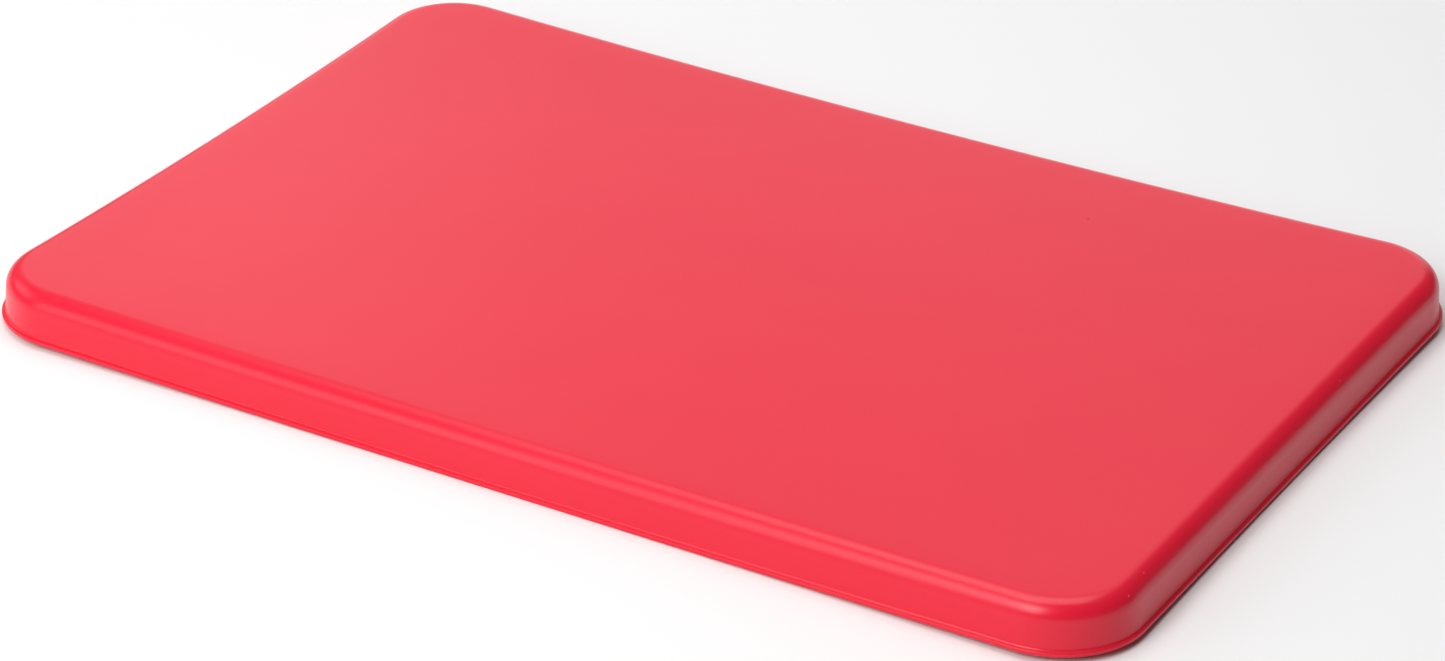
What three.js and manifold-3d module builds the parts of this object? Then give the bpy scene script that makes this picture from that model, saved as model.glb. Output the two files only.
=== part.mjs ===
// A colour-coded cutting board for a butcher's or deli counter: one hollow red moulding,
// open underneath and stiffened by its own ribs, standing on eight screwed-on rubber feet.
// Millimetres, +Z up. The origin is on the counter, under the middle of the board.
import * as THREE from "three";
import { mergeVertices } from "three/addons/utils/BufferGeometryUtils.js";
import Module from "manifold-3d";

const wasm = await Module();
wasm.setup();

// ---- Driving dimensions ----
const LENGTH = 600; // over the rim, along X
const WIDTH = 400; // over the rim, along Y
const SHELL_HEIGHT = 24; // from the rim's underside to the cutting face
const RIM_CLEARANCE = 1; // the feet hold the rim this far off the counter
const CORNER_RADIUS = 43; // in plan, at the rim
const SKIN = 3; // thickness of the moulding
const GAP = 0.3; // left between pieces that touch

// How far the middle of each side has shrunk in from its ends as the moulding cooled.
const LONG_SIDE_SHRINK = 1.85;
const SHORT_SIDE_SHRINK = 1.25;

// The outer profile, from the rim upwards.
const RIM_THICKNESS = 2;
const FLARE_RADIUS = 1.8; // the hollow curve between rim and side wall
const WALL_DRAFT = 0.8; // how far the side wall leans in over its height
const EDGE_RADIUS = 9.5; // the round between side wall and cutting face

// The rib grid. The feet are screwed on where its lines cross.
const RIB_THICKNESS = 2;
const RIB_RECESS = 1.5; // the ribs stop this far above the rim's underside
const RIB_PITCH_X = 60;
const RIB_PITCH_Y = 50;
const RIBS_EACH_WAY_X = 4; // to either side of the middle one
const RIBS_EACH_WAY_Y = 3;

// The feet, as steps along the rib grid: three along each long side, and two in the middle
// to carry the blow of a cleaver.
const FOOT_STEPS = [[-4, -3], [0, -3], [4, -3], [-2, 0], [2, 0], [-4, 3], [0, 3], [4, 3]];
const FOOT_HEIGHT = 9;
const FOOT_RADIUS = 12; // where it meets the boss
const TREAD_RADIUS = 11; // where it meets the counter
const FOOT_CHAMFER = 0.8;
const RECESS_RADIUS = 6.2; // the pocket in the tread that sinks the screw's head
const RECESS_DEPTH = 4.6;
const BOSS_RADIUS = 8;
const FOOT_CLEARANCE = 1.5; // the ribs are cut back this far round a foot

const WASHER_RADIUS = 5.8;
const WASHER_THICKNESS = 1;

// A pan-head screw with a cross recess.
const SCREW_RADIUS = 2;
const SCREW_LENGTH = 14; // under the head
const SCREW_TIP = 1; // chamfer at the end
const HEAD_RADIUS = 4;
const HEAD_HEIGHT = 2.4;
const HEAD_ROUND = 1.6;
const CROSS_WIDTH = 1;
const CROSS_SPAN = 4.6;
const CROSS_DEPTH = 1.3;

// How finely curves are divided.
const CORNER_STEPS = 12;
const SIDE_STEPS = 8;
const FLARE_STEPS = 4;
const EDGE_STEPS = 8;
const HOLLOW_STEPS = 4;
const TURNED_SEGMENTS = 24;

// ---- Heights that follow from them ----
const RIM_Z = RIM_CLEARANCE;
const TOP_Z = RIM_Z + SHELL_HEIGHT;
const ROUND_Z = TOP_Z - EDGE_RADIUS; // where the side wall starts to round over
const WALL_INSET = FLARE_RADIUS + WALL_DRAFT; // of the side wall there, from the rim
const SEAT_Z = FOOT_HEIGHT + GAP; // the underside of a boss, which a foot is pulled up against
const WASHER_TOP = RECESS_DEPTH - GAP;
const WASHER_BOTTOM = WASHER_TOP - WASHER_THICKNESS;
const HEAD_TOP = WASHER_BOTTOM - GAP;
const SHANK_TOP = HEAD_TOP + SCREW_LENGTH;
const BORE_RADIUS = SCREW_RADIUS + GAP; // of everything the screw goes through
const OVERSHOOT = 1; // how far a cut runs past the face it opens

// ---- Materials ----
const redPlastic = new THREE.MeshStandardMaterial({ color: 0xe81e39, roughness: 0.3, metalness: 0 });
const blackRubber = new THREE.MeshStandardMaterial({ color: 0x1c1c1d, roughness: 0.85, metalness: 0 });
const stainless = new THREE.MeshStandardMaterial({ color: 0xb9bbbd, roughness: 0.3, metalness: 1 });

// ---- Solids ----
// A closed three.js geometry as a manifold-3d solid.
function solid(geometry) {
  const bare = geometry.clone();
  bare.deleteAttribute("normal");
  bare.deleteAttribute("uv");
  const merged = mergeVertices(bare, 1e-4);
  const mesh = new wasm.Mesh({
    numProp: 3,
    vertProperties: new Float32Array(merged.getAttribute("position").array),
    triVerts: new Uint32Array(merged.index.array),
  });
  return new wasm.Manifold(mesh);
}

// A manifold-3d solid as a three.js geometry.
function geometryOf(made) {
  const mesh = made.getMesh();
  const positions = new THREE.BufferAttribute(new Float32Array(mesh.vertProperties), 3);
  const geometry = new THREE.BufferGeometry().setAttribute("position", positions);
  geometry.setIndex(new THREE.BufferAttribute(new Uint32Array(mesh.triVerts), 1));
  geometry.computeVertexNormals();
  return geometry;
}

// A solid of revolution about +Z from [radius, z] points, listed upwards along its outside.
function turned(points) {
  const profile = points.map(([radius, z]) => new THREE.Vector2(radius, z));
  return new THREE.LatheGeometry(profile, TURNED_SEGMENTS).rotateX(Math.PI / 2);
}

function cylinder(radius, bottom, top, at) {
  const upright = turned([[0, bottom], [radius, bottom], [radius, top], [0, top]]);
  return solid(upright.translate(at.x, at.y, 0));
}

function box(size, middle) {
  return solid(new THREE.BoxGeometry(...size).translate(...middle));
}

// Points round a quarter turn, from place(0) to place(90 degrees).
function quarterTurn(steps, place) {
  return Array.from({ length: steps + 1 }, (_, i) => place((i / steps) * (Math.PI / 2)));
}

// ---- The moulding ----
// Moves a plan point in by the shrinkage, which is nil where the corners begin.
function shrunk({ x, y }) {
  const alongX = x / (LENGTH / 2 - CORNER_RADIUS);
  const alongY = y / (WIDTH / 2 - CORNER_RADIUS);
  return new THREE.Vector2(
    x - SHORT_SIDE_SHRINK * (x / (LENGTH / 2)) * (1 - alongY * alongY),
    y - LONG_SIDE_SHRINK * (y / (WIDTH / 2)) * (1 - alongX * alongX),
  );
}

// The board's outline in plan, everywhere inset from the rim.
function outline(inset) {
  const radius = CORNER_RADIUS - inset;
  const corners = [[1, -1], [1, 1], [-1, 1], [-1, -1]].map(([signX, signY], i) => {
    const x = signX * (LENGTH / 2 - CORNER_RADIUS);
    const y = signY * (WIDTH / 2 - CORNER_RADIUS);
    const start = (i - 1) * (Math.PI / 2);
    const arc = new THREE.EllipseCurve(x, y, radius, radius, start, start + Math.PI / 2);
    return arc.getPoints(CORNER_STEPS);
  });
  const points = corners.flatMap((corner, i) => {
    const next = corners[(i + 1) % corners.length];
    const side = new THREE.LineCurve(corner.at(-1), next[0]).getPoints(SIDE_STEPS);
    return [...corner, ...side.slice(1, -1)];
  });
  return points.map(shrunk);
}

// Stacks one outline per [inset, z] level into a closed solid, flat at both ends.
function stacked(levels) {
  const rings = levels.map(([inset]) => outline(inset));
  const count = rings[0].length;
  const positions = rings.flatMap((ring, level) => ring.flatMap(({ x, y }) => [x, y, levels[level][1]]));
  const faces = [];
  for (let level = 0; level < levels.length - 1; level++) {
    for (let i = 0; i < count; i++) {
      const a = level * count + i;
      const b = level * count + ((i + 1) % count);
      faces.push(a, b, b + count, a, b + count, a + count);
    }
  }
  const top = (levels.length - 1) * count;
  for (const [a, b, c] of THREE.ShapeUtils.triangulateShape(rings[0], [])) {
    faces.push(a, c, b);
  }
  for (const [a, b, c] of THREE.ShapeUtils.triangulateShape(rings.at(-1), [])) {
    faces.push(top + a, top + b, top + c);
  }
  const geometry = new THREE.BufferGeometry().setIndex(faces);
  return solid(geometry.setAttribute("position", new THREE.Float32BufferAttribute(positions, 3)));
}

function outerLevels() {
  const flare = quarterTurn(FLARE_STEPS, (t) => [
    FLARE_RADIUS * Math.sin(t),
    RIM_Z + RIM_THICKNESS + FLARE_RADIUS * (1 - Math.cos(t)),
  ]);
  const edge = quarterTurn(EDGE_STEPS, (t) => [
    WALL_INSET + EDGE_RADIUS * (1 - Math.cos(t)),
    ROUND_Z + EDGE_RADIUS * Math.sin(t),
  ]);
  return [[0, RIM_Z], ...flare, ...edge];
}

// The space under the skin, which runs out through the open underside.
function hollowLevels() {
  const radius = EDGE_RADIUS - SKIN;
  const edge = quarterTurn(HOLLOW_STEPS, (t) => [
    WALL_INSET + SKIN + radius * (1 - Math.cos(t)),
    ROUND_Z + radius * Math.sin(t),
  ]);
  return [[FLARE_RADIUS + SKIN, RIM_Z - OVERSHOOT], ...edge];
}

// Where the feet go, in plan.
const footPlaces = FOOT_STEPS.map(([x, y]) => new THREE.Vector2(x * RIB_PITCH_X, y * RIB_PITCH_Y));

// Ribs right across the board both ways, and a boss over each foot.
function ribsAndBosses() {
  const bottom = RIM_Z + RIB_RECESS;
  const height = TOP_Z - bottom;
  const middle = bottom + height / 2;
  const ribs = [];
  for (let i = -RIBS_EACH_WAY_X; i <= RIBS_EACH_WAY_X; i++) {
    ribs.push(box([RIB_THICKNESS, WIDTH, height], [i * RIB_PITCH_X, 0, middle]));
  }
  for (let i = -RIBS_EACH_WAY_Y; i <= RIBS_EACH_WAY_Y; i++) {
    ribs.push(box([LENGTH, RIB_THICKNESS, height], [0, i * RIB_PITCH_Y, middle]));
  }
  const bosses = footPlaces.map((at) => cylinder(BOSS_RADIUS, SEAT_Z, TOP_Z, at));
  const clearings = footPlaces.map((at) => cylinder(FOOT_RADIUS + FOOT_CLEARANCE, 0, SEAT_Z, at));
  return wasm.Manifold.union([...ribs, ...bosses]).subtract(wasm.Manifold.union(clearings));
}

function boardShell() {
  const pockets = stacked(hollowLevels()).subtract(ribsAndBosses());
  const pilotHoles = footPlaces.map((at) =>
    cylinder(BORE_RADIUS, SEAT_Z - OVERSHOOT, SHANK_TOP + OVERSHOOT, at),
  );
  const cuts = wasm.Manifold.union([pockets, ...pilotHoles]);
  return geometryOf(stacked(outerLevels()).subtract(cuts));
}

// ---- A foot and its fixings, each about its own axis with the counter at z = 0 ----
function foot() {
  return turned([
    [BORE_RADIUS, RECESS_DEPTH],
    [RECESS_RADIUS, RECESS_DEPTH],
    [RECESS_RADIUS, 0],
    [TREAD_RADIUS - FOOT_CHAMFER, 0],
    [TREAD_RADIUS, FOOT_CHAMFER],
    [FOOT_RADIUS, FOOT_HEIGHT - FOOT_CHAMFER],
    [FOOT_RADIUS - FOOT_CHAMFER, FOOT_HEIGHT],
    [BORE_RADIUS, FOOT_HEIGHT],
    [BORE_RADIUS, RECESS_DEPTH],
  ]);
}

function washer() {
  return turned([
    [BORE_RADIUS, WASHER_BOTTOM],
    [WASHER_RADIUS, WASHER_BOTTOM],
    [WASHER_RADIUS, WASHER_TOP],
    [BORE_RADIUS, WASHER_TOP],
    [BORE_RADIUS, WASHER_BOTTOM],
  ]);
}

// The screw hangs head down, its shank up in the boss.
function screw() {
  const headBottom = HEAD_TOP - HEAD_HEIGHT;
  const dome = quarterTurn(3, (t) => [
    HEAD_RADIUS - HEAD_ROUND * (1 - Math.sin(t)),
    headBottom + HEAD_ROUND * (1 - Math.cos(t)),
  ]);
  const body = turned([
    [0, headBottom],
    ...dome,
    [HEAD_RADIUS, HEAD_TOP],
    [SCREW_RADIUS, HEAD_TOP],
    [SCREW_RADIUS, SHANK_TOP - SCREW_TIP],
    [SCREW_RADIUS - SCREW_TIP, SHANK_TOP],
    [0, SHANK_TOP],
  ]);
  const middle = [0, 0, headBottom];
  const slot = box([CROSS_SPAN, CROSS_WIDTH, 2 * CROSS_DEPTH], middle);
  const crossSlot = box([CROSS_WIDTH, CROSS_SPAN, 2 * CROSS_DEPTH], middle);
  return geometryOf(solid(body).subtract(slot.add(crossSlot)));
}

// ---- The assembly ----
const board = new THREE.Group();

function add(name, geometry, material, { x, y } = { x: 0, y: 0 }) {
  const mesh = new THREE.Mesh(geometry, material);
  mesh.name = name;
  mesh.position.set(x, y, 0);
  board.add(mesh);
}

add("board_shell", boardShell(), redPlastic);
footPlaces.forEach((at, i) => {
  add(`foot_${i + 1}`, foot(), blackRubber, at);
  add(`foot_washer_${i + 1}`, washer(), stainless, at);
  add(`foot_screw_${i + 1}`, screw(), stainless, at);
});

export default board;
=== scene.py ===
"""A red moulded cutting board on a pale counter, seen from above its near right corner."""
import math

import bmesh
import bpy
from mathutils import Matrix, Vector


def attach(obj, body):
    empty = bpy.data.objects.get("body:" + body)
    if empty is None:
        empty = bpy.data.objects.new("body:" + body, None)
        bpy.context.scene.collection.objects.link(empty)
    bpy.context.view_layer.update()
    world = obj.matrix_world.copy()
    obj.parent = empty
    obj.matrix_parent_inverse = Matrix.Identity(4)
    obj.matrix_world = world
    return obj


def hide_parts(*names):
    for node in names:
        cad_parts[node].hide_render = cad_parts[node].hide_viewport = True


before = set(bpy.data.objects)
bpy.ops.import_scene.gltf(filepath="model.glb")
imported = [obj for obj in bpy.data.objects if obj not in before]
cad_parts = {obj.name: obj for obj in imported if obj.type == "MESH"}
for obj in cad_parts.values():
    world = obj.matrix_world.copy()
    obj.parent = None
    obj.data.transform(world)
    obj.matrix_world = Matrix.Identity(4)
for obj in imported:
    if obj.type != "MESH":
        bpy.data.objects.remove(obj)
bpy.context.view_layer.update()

MM = 0.001

# ---- The moulding, as the CAD part has it, in millimetres ----
LENGTH = 600
WIDTH = 400
RIM_Z = 1
TOP_Z = 25
CORNER_RADIUS = 43
SKIN = 3
LONG_SIDE_SHRINK = 1.85
SHORT_SIDE_SHRINK = 1.25
RIM_THICKNESS = 2
FLARE_RADIUS = 1.8
WALL_DRAFT = 0.8
EDGE_RADIUS = 9.5
WALL_INSET = FLARE_RADIUS + WALL_DRAFT
ROUND_Z = TOP_Z - EDGE_RADIUS
RIB_THICKNESS = 2
RIB_Z = 2.5
RIB_PITCH_X = 60
RIB_PITCH_Y = 50
RIBS_EACH_WAY_X = 4
RIBS_EACH_WAY_Y = 3
SEAT_Z = 9.3
BOSS_RADIUS = 8
BORE_RADIUS = 2.15
BORE_END_Z = 18
FOOT_CLEARING_RADIUS = 13.5
# The feet stand under crossings of the ribs, counted from the middle of the board.
FOOT_CROSSINGS = [(-4, -3), (0, -3), (4, -3), (-2, 0), (2, 0), (-4, 3), (0, 3), (4, 3)]
FOOT_PLACES = [(i * RIB_PITCH_X, j * RIB_PITCH_Y, 0) for i, j in FOOT_CROSSINGS]

# ---- What only shows close up ----
# The moulding has curled as it cooled: its corners stand up and the middles of its sides sag.
CORNER_LIFT = 2.65
LONG_SIDE_SAG = 3.62
SHORT_SIDE_SAG = 2.53
RIM_EDGE_RADIUS = 0.45
RIB_DRAFT = 0.25
RIB_ROOT_RADIUS = 0.8
RIB_CLEARANCE = 0.3
BOSS_CHAMFER = 0.4
BOSS_DRAFT = 0.3
# Solids reach into each other before they are joined, so that no two of their faces coincide.
RIB_TOP_Z = TOP_Z - SKIN / 2 - 0.2
BOSS_TOP_Z = TOP_Z - SKIN / 2 - 0.6
BOSS_OVERLAP = 0.6
# Nibs left by the mould: points on its surface, and the radius of the grain that sits half sunk there.
NIBS = [(123.7, 139.2, 24.6), (293.8, 57.3, 22.3), (294.8, -164.6, 23.1), (293.1, -146.8, 24.7)]
NIB_RADIUS = 0.55

# ---- The feet and their fixings ----
# Half sections as (radius, height, rounding) corners.
FOOT_SECTION = [
    (2.3, 4.6, 0.1), (6.2, 4.6, 0.3), (6.2, 0, 0.4), (7.6, 0, 0.05), (7.9, 0.5, 0.1),
    (8.5, 0.5, 0.1), (8.8, 0, 0.05), (11, 0, 0.8), (12, 9, 0.8), (2.3, 9, 0.1),
]
WASHER_SECTION = [(2.3, 3.3, 0.2), (5.8, 3.3, 0.2), (5.8, 4.3, 0.2), (2.3, 4.3, 0.2)]
HEAD_Z = 0.6
HEAD_RADIUS = 4
HEAD_DOME = 1.6
HEAD_CHAMFER = 0.1
HEAD_SEAT_Z = 3
SHANK_RADIUS = 2
SHANK_END_Z = 17
SHANK_POINT = 1
RECESS_REACH = 2.3
RECESS_HALF_WIDTH = 0.5
RECESS_START_Z = -0.2
RECESS_END_Z = 1.9
RECESS_TAPER = 0.72

# ---- How finely everything is divided ----
CORNER_STEPS = 28
SIDE_STEPS = 36
CEILING_RINGS = 10
INNER_ROUND_STEPS = 10
RIM_EDGE_STEPS = 4
LIP_EDGE_STEPS = 5
FLARE_STEPS = 8
WALL_STEPS = 4
ROUND_STEPS = 24
FACE_RINGS = 16
RIB_ROOT_STEPS = 4
BOSS_SEGMENTS = 48
NIB_SEGMENTS = 16
NIB_STEPS = 8
FOOT_SEGMENTS = 64
FOOT_ROUNDING_STEPS = 4
WASHER_ROUNDING_STEPS = 3
SCREW_SEGMENTS = 48
HEAD_STEPS = 10
# Vertices nearer than this, in millimetres, become one.
MERGE_DISTANCE = 0.005
SHARP_ANGLE = 35

# ---- Camera: angles in degrees, distances in metres, lens and sensor in millimetres ----
CAMERA_AZIMUTH = 30.03
CAMERA_ELEVATION = 28.35
CAMERA_ROLL = 0.78
CAMERA_DISTANCE = 2.2596
CAMERA_TARGET = Vector((0.01035, -0.01952, (RIM_Z + CORNER_LIFT) * MM))
CAMERA_LENS = 118.53
SENSOR_WIDTH = 36
NEAREST_SEEN = 0.05
FARTHEST_SEEN = 60

# ---- Stage and light ----
# How far the floor runs from the middle of the board, in millimetres.
FLOOR_REACH = 6000
FLOOR_COLOR = (0.93, 0.93, 0.93)
FLOOR_ROUGHNESS = 0.8
WORLD_BRIGHTNESS = 0.06
SOFTBOX_DISTANCE = 2.4
# Name, azimuth and elevation in degrees, width and height in metres, and how bright each looks.
SOFTBOXES = [
    ("key", -2, 35, 1.0, 1.3, 4.8),
    ("high_key", -12, 46, 1.0, 1.0, 3.9),
    ("front_fill", -30, 20, 1.0, 1.2, 2.3),
    ("left_fill", -80, 28, 1.4, 0.9, 1.7),
    ("overhead", 215, 82, 2.0, 1.6, 2.85),
    ("overhead_left", -60, 68, 0.9, 0.9, 1.2),
    ("back_left_card", 234, 27, 1.3, 1.0, 0.38),
    ("back_card", 208, 23, 2.2, 0.9, 0.72),
    ("upper_back_card", 208, 50, 2.0, 1.1, 0.6),
    ("horizon_card", 202, 9, 2.2, 0.6, 1.0),
]


# ---- Mesh helpers ----
def quarter_turn(steps, place):
    """What place gives at each angle from nothing to a quarter turn."""
    return [place(i / steps * math.pi / 2) for i in range(steps + 1)]


def shrunk(x, y):
    """A plan point, moved in by the shrinkage, which is nil where the corners begin."""
    along_x = x / (LENGTH / 2 - CORNER_RADIUS)
    along_y = y / (WIDTH / 2 - CORNER_RADIUS)
    return (
        x - SHORT_SIDE_SHRINK * 2 * x / LENGTH * (1 - along_y * along_y),
        y - LONG_SIDE_SHRINK * 2 * y / WIDTH * (1 - along_x * along_x),
    )


def curled(x, y, z):
    """A point of the moulding, moved by the curl."""
    in_x = 1 - (2 * x / LENGTH) ** 2
    in_y = 1 - (2 * y / WIDTH) ** 2
    sag = LONG_SIDE_SAG * in_x * (1 - in_y / 2) + SHORT_SIDE_SAG * in_y * (1 - in_x / 2)
    return x, y, z + CORNER_LIFT - sag


def outline(inset):
    """The board's outline in plan, everywhere inset from the rim, as a list of (x, y)."""
    radius = CORNER_RADIUS - inset
    corners = []
    for i, (sign_x, sign_y) in enumerate([(1, -1), (1, 1), (-1, 1), (-1, -1)]):
        x = sign_x * (LENGTH / 2 - CORNER_RADIUS)
        y = sign_y * (WIDTH / 2 - CORNER_RADIUS)
        turns = [(i - 1 + k / CORNER_STEPS) * math.pi / 2 for k in range(CORNER_STEPS + 1)]
        corners.append([(x + radius * math.cos(t), y + radius * math.sin(t)) for t in turns])
    points = []
    for i, corner in enumerate(corners):
        x0, y0 = corner[-1]
        x1, y1 = corners[(i + 1) % 4][0]
        points += corner
        for k in range(1, SIDE_STEPS):
            share = k / SIDE_STEPS
            points.append((x0 + (x1 - x0) * share, y0 + (y1 - y0) * share))
    return [shrunk(x, y) for x, y in points]


def new_object(name, vertices, faces):
    """A mesh object from points in millimetres."""
    mesh = bpy.data.meshes.new(name)
    mesh.from_pydata([[c * MM for c in v] for v in vertices], [], faces)
    mesh.validate()
    obj = bpy.data.objects.new(name, mesh)
    bpy.context.scene.collection.objects.link(obj)
    return obj


def face_outwards(obj):
    made = bmesh.new()
    made.from_mesh(obj.data)
    bmesh.ops.recalc_face_normals(made, faces=made.faces)
    made.to_mesh(obj.data)
    made.free()


def turned(name, profile, segments):
    """A solid of revolution about Z from (radius, z) points. It is closed at the axis, or as a ring."""
    on_axis = profile[0][0] == 0
    vertices, rings = [], []
    for radius, z in profile:
        start = len(vertices)
        count = 1 if radius == 0 else segments
        for k in range(count):
            angle = 2 * math.pi * k / segments
            vertices.append((radius * math.cos(angle), radius * math.sin(angle), z))
        rings.append([start + (k if count > 1 else 0) for k in range(segments)])
    pairs = zip(rings, rings[1:]) if on_axis else zip(rings, rings[1:] + rings[:1])
    faces = []
    for low, high in pairs:
        for k in range(segments):
            n = (k + 1) % segments
            corners = dict.fromkeys([low[k], low[n], high[n], high[k]])
            faces.append(list(corners))
    obj = new_object(name, vertices, faces)
    face_outwards(obj)
    return obj


def joined(name, objects):
    """One mesh object holding copies of all the objects' meshes, which are then removed."""
    made = bmesh.new()
    for obj in objects:
        start = len(made.verts)
        made.from_mesh(obj.data)
        made.verts.ensure_lookup_table()
        bmesh.ops.transform(made, matrix=obj.matrix_basis, verts=made.verts[start:])
        bpy.data.objects.remove(obj)
    mesh = bpy.data.meshes.new(name)
    made.to_mesh(mesh)
    made.free()
    obj = bpy.data.objects.new(name, mesh)
    bpy.context.scene.collection.objects.link(obj)
    return obj


def turned_copies(places, profile, segments):
    """The same turned solid at each of the places, as one mesh object."""
    copies = []
    for place in places:
        copy = turned("copy", profile, segments)
        copy.location = [c * MM for c in place]
        copies.append(copy)
    return joined("copies", copies)


def combine(obj, other, operation):
    """Applies an exact boolean of other to obj, and removes other."""
    modifier = obj.modifiers.new("boolean", "BOOLEAN")
    modifier.operation = operation
    modifier.solver = "EXACT"
    modifier.object = other
    graph = bpy.context.evaluated_depsgraph_get()
    mesh = bpy.data.meshes.new_from_object(obj.evaluated_get(graph))
    obj.modifiers.clear()
    obj.data = mesh
    bpy.data.objects.remove(other)


def merge_close(obj):
    """Joins the vertices that booleans left almost in one place."""
    made = bmesh.new()
    made.from_mesh(obj.data)
    bmesh.ops.remove_doubles(made, verts=made.verts, dist=MERGE_DISTANCE * MM)
    made.to_mesh(obj.data)
    made.free()


def smooth(obj):
    obj.data.polygons.foreach_set("use_smooth", [True] * len(obj.data.polygons))
    obj.data.set_sharp_from_angle(angle=math.radians(SHARP_ANGLE))


# ---- The moulding ----
def skin_stations():
    """(inset, z, share of the outline's size) from the middle of the ceiling, down inside and up outside."""
    inner_radius = EDGE_RADIUS - SKIN
    inner_wall = WALL_INSET + SKIN
    inner_foot = FLARE_RADIUS + SKIN
    ceiling_z = TOP_Z - SKIN
    stations = [(inner_wall + inner_radius, ceiling_z, k / CEILING_RINGS) for k in range(1, CEILING_RINGS)]
    inner_turns = [math.pi / 2 * (1 - k / INNER_ROUND_STEPS) for k in range(INNER_ROUND_STEPS + 1)]
    stations += [
        (inner_wall + inner_radius * (1 - math.cos(t)), ROUND_Z + inner_radius * math.sin(t), 1)
        for t in inner_turns
    ]
    stations += quarter_turn(RIM_EDGE_STEPS, lambda t: (
        inner_foot - RIM_EDGE_RADIUS * (1 - math.cos(t)), RIM_Z + RIM_EDGE_RADIUS * (1 - math.sin(t)), 1))
    stations += quarter_turn(RIM_EDGE_STEPS, lambda t: (
        RIM_EDGE_RADIUS * (1 - math.sin(t)), RIM_Z + RIM_EDGE_RADIUS * (1 - math.cos(t)), 1))
    lip_z = RIM_Z + RIM_THICKNESS
    stations += quarter_turn(LIP_EDGE_STEPS, lambda t: (
        RIM_EDGE_RADIUS * (1 - math.cos(t)), lip_z - RIM_EDGE_RADIUS * (1 - math.sin(t)), 1))
    flare = FLARE_RADIUS - RIM_EDGE_RADIUS
    stations += quarter_turn(FLARE_STEPS, lambda t: (
        RIM_EDGE_RADIUS + flare * math.sin(t), lip_z + flare * (1 - math.cos(t)), 1))[1:]
    wall_z = lip_z + flare
    stations += [
        (FLARE_RADIUS + WALL_DRAFT * k / WALL_STEPS, wall_z + (ROUND_Z - wall_z) * k / WALL_STEPS, 1)
        for k in range(1, WALL_STEPS)
    ]
    stations += quarter_turn(ROUND_STEPS, lambda t: (
        WALL_INSET + EDGE_RADIUS * (1 - math.cos(t)), ROUND_Z + EDGE_RADIUS * math.sin(t), 1))
    stations += [(WALL_INSET + EDGE_RADIUS, TOP_Z, 1 - k / FACE_RINGS) for k in range(1, FACE_RINGS)]
    return stations


def make_skin():
    """The closed skin: outside, rim and hollow inside in one run of rings."""
    stations = skin_stations()
    vertices = [curled(0, 0, TOP_Z - SKIN)]
    for inset, z, size in stations:
        vertices += [curled(x * size, y * size, z) for x, y in outline(inset)]
    vertices.append(curled(0, 0, TOP_Z))
    count = len(outline(0))
    faces = []
    for station in range(len(stations) - 1):
        ring, next_ring = 1 + station * count, 1 + (station + 1) * count
        for k in range(count):
            n = (k + 1) % count
            faces.append((ring + k, ring + n, next_ring + n, next_ring + k))
    last = 1 + (len(stations) - 1) * count
    for k in range(count):
        n = (k + 1) % count
        faces.append((0, 1 + n, 1 + k))
        faces.append((last + k, last + n, len(vertices) - 1))
    obj = new_object("moulded_board", vertices, faces)
    face_outwards(obj)
    return obj


def mid_skin_inset(z):
    """How far the middle of the skin is in from the rim at a height."""
    radius = EDGE_RADIUS - SKIN / 2
    rise = min(max((z - ROUND_Z) / radius, 0), 1)
    return WALL_INSET + SKIN / 2 + radius * (1 - math.sqrt(1 - rise * rise))


def make_ribs():
    """The rib grid as one closed lattice, drafted, flared at its roots, and ending inside the skin."""
    half = RIB_THICKNESS / 2
    ceiling_z = TOP_Z - SKIN
    levels = [(half - RIB_DRAFT, RIB_Z), (half, ROUND_Z)]
    levels += quarter_turn(RIB_ROOT_STEPS, lambda t: (
        half + RIB_ROOT_RADIUS * (1 - math.cos(t)), ceiling_z - RIB_ROOT_RADIUS * (1 - math.sin(t))))
    levels.append((half + RIB_ROOT_RADIUS, RIB_TOP_Z))
    columns = range(-RIBS_EACH_WAY_X, RIBS_EACH_WAY_X + 1)
    rows = range(-RIBS_EACH_WAY_Y, RIBS_EACH_WAY_Y + 1)
    count_x, count_y = 2 * len(columns) + 2, 2 * len(rows) + 2
    vertices = []
    for width, z in levels:
        end_x, end_y = LENGTH / 2 - mid_skin_inset(z), WIDTH / 2 - mid_skin_inset(z)
        xs = [-end_x] + [i * RIB_PITCH_X + side * width for i in columns for side in (-1, 1)] + [end_x]
        ys = [-end_y] + [i * RIB_PITCH_Y + side * width for i in rows for side in (-1, 1)] + [end_y]
        vertices += [curled(*shrunk(x, y), z) for x in xs for y in ys]

    def at(level, i, j):
        return (level * count_x + i) * count_y + j

    def is_rib(i, j):
        inside = 0 <= i < count_x - 1 and 0 <= j < count_y - 1
        return inside and (i % 2 == 1 or j % 2 == 1)

    faces = []
    top = len(levels) - 1
    for i in range(count_x - 1):
        for j in range(count_y - 1):
            if not is_rib(i, j):
                continue
            corners = [(i, j), (i + 1, j), (i + 1, j + 1), (i, j + 1)]
            faces.append([at(0, *c) for c in reversed(corners)])
            faces.append([at(top, *c) for c in corners])
            for k, neighbour in enumerate([(i, j - 1), (i + 1, j), (i, j + 1), (i - 1, j)]):
                if is_rib(*neighbour):
                    continue
                p, q = corners[k], corners[(k + 1) % 4]
                for level in range(top):
                    faces.append([at(level, *p), at(level, *q), at(level + 1, *q), at(level + 1, *p)])
    obj = new_object("ribs", vertices, faces)
    remove_loose_vertices(obj)
    face_outwards(obj)
    return obj


def remove_loose_vertices(obj):
    made = bmesh.new()
    made.from_mesh(obj.data)
    bmesh.ops.delete(made, geom=[v for v in made.verts if not v.link_faces], context="VERTS")
    made.to_mesh(obj.data)
    made.free()


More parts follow.
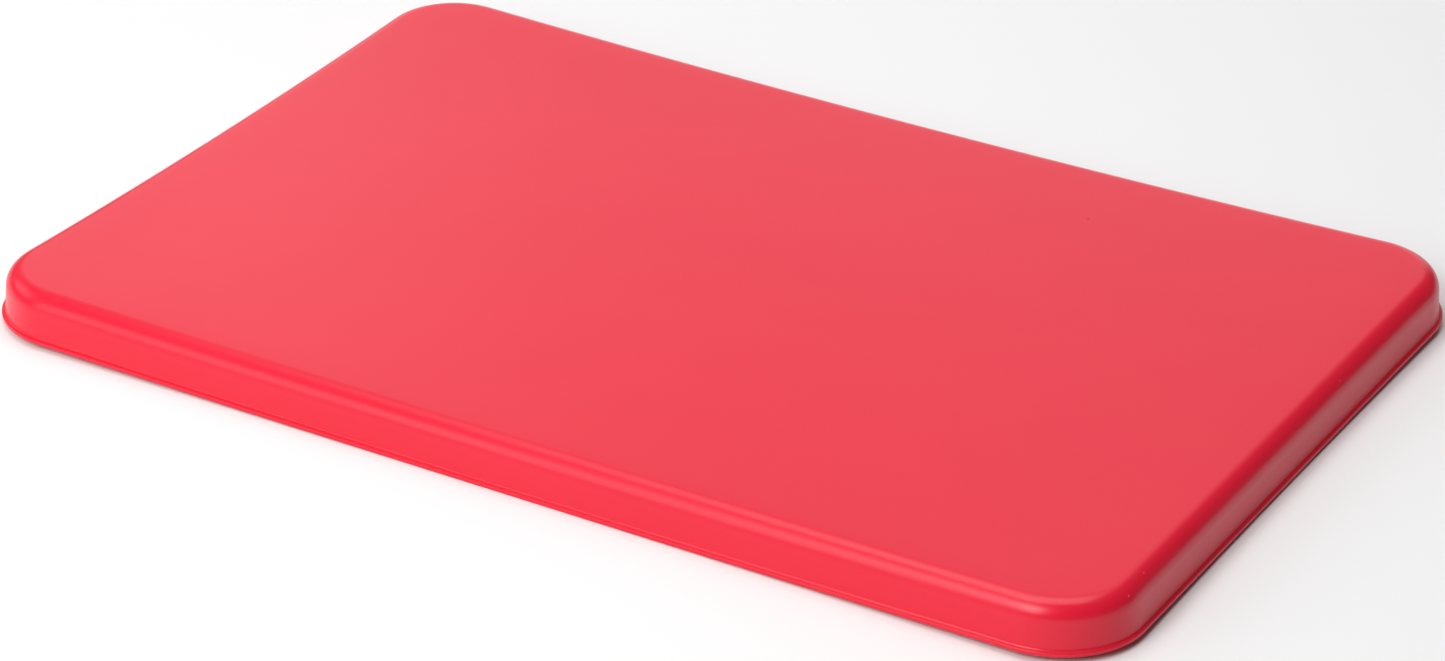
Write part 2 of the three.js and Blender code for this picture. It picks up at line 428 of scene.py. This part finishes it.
def make_nibs():
    grain = [
        (NIB_RADIUS * math.sin(math.pi * k / NIB_STEPS), -NIB_RADIUS * math.cos(math.pi * k / NIB_STEPS))
        for k in range(1, NIB_STEPS)
    ]
    return turned_copies(NIBS, [(0, -NIB_RADIUS)] + grain + [(0, NIB_RADIUS)], NIB_SEGMENTS)


def make_moulding():
    """The skin, its ribs, its bosses and its nibs as one closed body."""
    rib_end = BOSS_RADIUS - BOSS_OVERLAP
    rib_bottom = SEAT_Z + RIB_CLEARANCE
    hollow_top = BORE_END_Z + BOSS_OVERLAP
    ribs = make_ribs()
    clearing = [
        (0, 0), (FOOT_CLEARING_RADIUS, 0), (FOOT_CLEARING_RADIUS, rib_bottom),
        (rib_end, rib_bottom), (rib_end, hollow_top), (0, hollow_top),
    ]
    combine(ribs, turned_copies(FOOT_PLACES, clearing, BOSS_SEGMENTS), "DIFFERENCE")
    boss = [
        (0, BORE_END_Z), (BORE_RADIUS, BORE_END_Z), (BORE_RADIUS, SEAT_Z),
        (BOSS_RADIUS - BOSS_CHAMFER, SEAT_Z), (BOSS_RADIUS, SEAT_Z + BOSS_CHAMFER),
        (BOSS_RADIUS + BOSS_DRAFT, BOSS_TOP_Z), (0, BOSS_TOP_Z),
    ]
    combine(ribs, turned_copies(FOOT_PLACES, boss, BOSS_SEGMENTS), "UNION")
    moulding = make_skin()
    combine(moulding, ribs, "UNION")
    combine(moulding, make_nibs(), "UNION")
    merge_close(moulding)
    smooth(moulding)
    return moulding


# ---- Feet and fixings ----
def rounded(section, steps):
    """A closed (radius, z) profile from corners that each have a rounding of their own."""
    result = []
    count = len(section)
    for i, (radius, z, rounding) in enumerate(section):
        here = Vector((radius, z))
        to_last = (Vector(section[i - 1][:2]) - here).normalized()
        to_next = (Vector(section[(i + 1) % count][:2]) - here).normalized()
        start, end = here + to_last * rounding, here + to_next * rounding
        for k in range(steps + 1):
            t = k / steps
            result.append(tuple(start * (1 - t) ** 2 + here * 2 * t * (1 - t) + end * t * t))
    return result


def make_foot(name):
    return turned(name, rounded(FOOT_SECTION, FOOT_ROUNDING_STEPS), FOOT_SEGMENTS)


def make_washer(name):
    return turned(name, rounded(WASHER_SECTION, WASHER_ROUNDING_STEPS), FOOT_SEGMENTS)


def make_recess():
    """The solid that a screw's cross recess takes out: four arms, tapered inwards."""
    arm = [
        (RECESS_HALF_WIDTH, -RECESS_HALF_WIDTH), (RECESS_REACH, -RECESS_HALF_WIDTH),
        (RECESS_REACH, RECESS_HALF_WIDTH),
    ]
    quarters = [(1, 0), (0, 1), (-1, 0), (0, -1)]
    plan = [(x * c - y * s, x * s + y * c) for c, s in quarters for x, y in arm]
    levels = [(RECESS_START_Z, 1), (RECESS_END_Z, RECESS_TAPER)]
    vertices = [(x * size, y * size, z) for z, size in levels for x, y in plan]
    count = len(plan)
    faces = [tuple(range(count)), tuple(range(count, 2 * count))]
    faces += [(k, (k + 1) % count, count + (k + 1) % count, count + k) for k in range(count)]
    recess = new_object("recess", vertices, faces)
    face_outwards(recess)
    return recess


def make_screw(name):
    dome = quarter_turn(HEAD_STEPS, lambda t: (
        HEAD_RADIUS - HEAD_DOME * (1 - math.sin(t)), HEAD_Z + HEAD_DOME * (1 - math.cos(t))))
    body = turned(name, [
        (0, HEAD_Z), *dome, (HEAD_RADIUS, HEAD_SEAT_Z - HEAD_CHAMFER),
        (HEAD_RADIUS - HEAD_CHAMFER, HEAD_SEAT_Z), (SHANK_RADIUS, HEAD_SEAT_Z),
        (SHANK_RADIUS, SHANK_END_Z - SHANK_POINT), (SHANK_RADIUS - SHANK_POINT, SHANK_END_Z),
        (0, SHANK_END_Z),
    ], SCREW_SEGMENTS)
    combine(body, make_recess(), "DIFFERENCE")
    return body


# ---- Materials ----
# A noise texture seldom leaves this range.
NOISE_LOW = 0.3
NOISE_HIGH = 0.7


def material(name, color, roughness, metallic=0.0):
    made = bpy.data.materials.new(name)
    made.use_nodes = True
    shader = made.node_tree.nodes["Principled BSDF"]
    shader.inputs["Base Color"].default_value = (*color, 1)
    shader.inputs["Roughness"].default_value = roughness
    shader.inputs["Metallic"].default_value = metallic
    return made, made.node_tree, shader


def noise(tree, scale, detail):
    """A noise texture over the object's own space. scale is in features a metre."""
    place = tree.nodes.get("place") or tree.nodes.new("ShaderNodeTexCoord")
    place.name = "place"
    texture = tree.nodes.new("ShaderNodeTexNoise")
    texture.inputs["Scale"].default_value = scale
    texture.inputs["Detail"].default_value = detail
    tree.links.new(place.outputs["Object"], texture.inputs["Vector"])
    return texture.outputs["Fac"]


def spread(tree, source, low, high):
    """Maps a noise from its usual range to low..high."""
    node = tree.nodes.new("ShaderNodeMapRange")
    node.inputs["From Min"].default_value = NOISE_LOW
    node.inputs["From Max"].default_value = NOISE_HIGH
    node.inputs["To Min"].default_value = low
    node.inputs["To Max"].default_value = high
    tree.links.new(source, node.inputs["Value"])
    return node.outputs["Result"]


def bump(tree, source, height, before=None):
    """A bump of that height in millimetres, on top of an earlier one."""
    node = tree.nodes.new("ShaderNodeBump")
    node.inputs["Distance"].default_value = height * MM
    node.inputs["Strength"].default_value = 1
    tree.links.new(source, node.inputs["Height"])
    if before:
        tree.links.new(before, node.inputs["Normal"])
    return node.outputs["Normal"]


def two_tone(tree, source, first, second):
    """A mix of two colours that follows a noise."""
    node = tree.nodes.new("ShaderNodeMix")
    node.data_type = "RGBA"
    colors = [s for s in node.inputs if s.type == "RGBA"]
    colors[0].default_value = (*first, 1)
    colors[1].default_value = (*second, 1)
    tree.links.new(spread(tree, source, 0, 1), node.inputs["Factor"])
    return next(s for s in node.outputs if s.type == "RGBA")


def red_plastic():
    """A satin moulding: faint clouds of colour, slow waves in its face and a very fine grain."""
    made, tree, shader = material("red_plastic", color=(0.82, 0.012, 0.04), roughness=0.3)
    clouds = noise(tree, scale=9, detail=3)
    tone = two_tone(tree, clouds, first=(0.81, 0.0115, 0.039), second=(0.83, 0.0125, 0.042))
    rough = spread(tree, noise(tree, scale=14, detail=4), low=0.28, high=0.31)
    waves = bump(tree, noise(tree, scale=22, detail=1), height=0.12)
    grain = bump(tree, noise(tree, scale=1400, detail=2), height=0.004, before=waves)
    tree.links.new(tone, shader.inputs["Base Color"])
    tree.links.new(rough, shader.inputs["Roughness"])
    tree.links.new(grain, shader.inputs["Normal"])
    shader.inputs["Specular IOR Level"].default_value = 0.4
    return made


def black_rubber():
    """Dull rubber with a little dust on it."""
    made, tree, shader = material("black_rubber", color=(0.013, 0.013, 0.014), roughness=0.7)
    specks = noise(tree, scale=160, detail=4)
    tone = two_tone(tree, specks, first=(0.011, 0.011, 0.012), second=(0.03, 0.029, 0.028))
    rough = spread(tree, noise(tree, scale=90, detail=3), low=0.6, high=0.82)
    grain = bump(tree, noise(tree, scale=2500, detail=2), height=0.02)
    tree.links.new(tone, shader.inputs["Base Color"])
    tree.links.new(rough, shader.inputs["Roughness"])
    tree.links.new(grain, shader.inputs["Normal"])
    return made


def stainless():
    """Bright steel, unevenly polished."""
    made, tree, shader = material("stainless", color=(0.55, 0.55, 0.54), roughness=0.3, metallic=1.0)
    patches = noise(tree, scale=300, detail=3)
    tone = two_tone(tree, patches, first=(0.5, 0.5, 0.5), second=(0.6, 0.6, 0.59))
    rough = spread(tree, noise(tree, scale=700, detail=3), low=0.22, high=0.4)
    grain = bump(tree, noise(tree, scale=3000, detail=2), height=0.008)
    tree.links.new(tone, shader.inputs["Base Color"])
    tree.links.new(rough, shader.inputs["Roughness"])
    tree.links.new(grain, shader.inputs["Normal"])
    return made


# ---- Placing the pieces ----
def place_piece(obj, node, made_of):
    obj.data.materials.clear()
    obj.data.materials.append(made_of)
    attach(obj, "root")
    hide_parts(node)


red, rubber, steel = red_plastic(), black_rubber(), stainless()
place_piece(make_moulding(), "board_shell", red)
for number, foot_place in enumerate(FOOT_PLACES, 1):
    for make, piece, node, made_of, slot in (
        (make_foot, "rubber_foot", "foot", rubber, "black_rubber"),
        (make_washer, "steel_washer", "foot_washer", steel, "stainless_steel"),
        (make_screw, "steel_screw", "foot_screw", steel, "stainless_steel"),
    ):
        part = make(f"{piece}_{number}")
        smooth(part)
        part.location = [c * MM for c in foot_place]
        place_piece(part, f"{node}_{number}", made_of)


# ---- Camera, stage and light ----
def direction(azimuth, elevation):
    """Towards a place round the board: azimuth 0 is in front, 90 to the right."""
    a, e = math.radians(azimuth), math.radians(elevation)
    return Vector((math.sin(a) * math.cos(e), -math.cos(a) * math.cos(e), math.sin(e)))


def add_camera():
    data = bpy.data.cameras.new("camera")
    data.lens = CAMERA_LENS
    data.sensor_width = SENSOR_WIDTH
    data.clip_start = NEAREST_SEEN
    data.clip_end = FARTHEST_SEEN
    camera = bpy.data.objects.new("camera", data)
    bpy.context.scene.collection.objects.link(camera)
    back = direction(CAMERA_AZIMUTH, CAMERA_ELEVATION)
    right = Vector((0, 0, 1)).cross(back).normalized()
    level = Matrix((right, back.cross(right), back)).transposed()
    turn = Matrix.Rotation(math.radians(CAMERA_ROLL), 3, "Z")
    place = Matrix.Translation(CAMERA_TARGET + back * CAMERA_DISTANCE)
    camera.matrix_world = place @ (level @ turn).to_4x4()
    bpy.context.scene.camera = camera


def add_floor():
    corners = [(x * FLOOR_REACH, y * FLOOR_REACH, 0) for x, y in ((-1, -1), (1, -1), (1, 1), (-1, 1))]
    floor = new_object("floor", corners, [(0, 1, 2, 3)])
    floor.data.materials.append(material("pale_floor", FLOOR_COLOR, FLOOR_ROUGHNESS)[0])


def add_world():
    world = bpy.data.worlds.new("world")
    world.use_nodes = True
    background = world.node_tree.nodes["Background"]
    background.inputs["Color"].default_value = (1, 1, 1, 1)
    background.inputs["Strength"].default_value = WORLD_BRIGHTNESS
    bpy.context.scene.world = world


def add_softbox(name, azimuth, elevation, width, height, radiance):
    """A rectangular light that faces the board. Its power follows from its size and its radiance."""
    data = bpy.data.lights.new(name, "AREA")
    data.shape = "RECTANGLE"
    data.size = width
    data.size_y = height
    data.energy = radiance * math.pi * width * height
    light = bpy.data.objects.new(name, data)
    bpy.context.scene.collection.objects.link(light)
    towards = direction(azimuth, elevation)
    light.location = towards * SOFTBOX_DISTANCE
    light.rotation_mode = "QUATERNION"
    light.rotation_quaternion = towards.to_track_quat("Z", "Y")


add_camera()
add_floor()
add_world()
for softbox in SOFTBOXES:
    add_softbox(*softbox)
bpy.context.scene.view_settings.view_transform = "Standard"
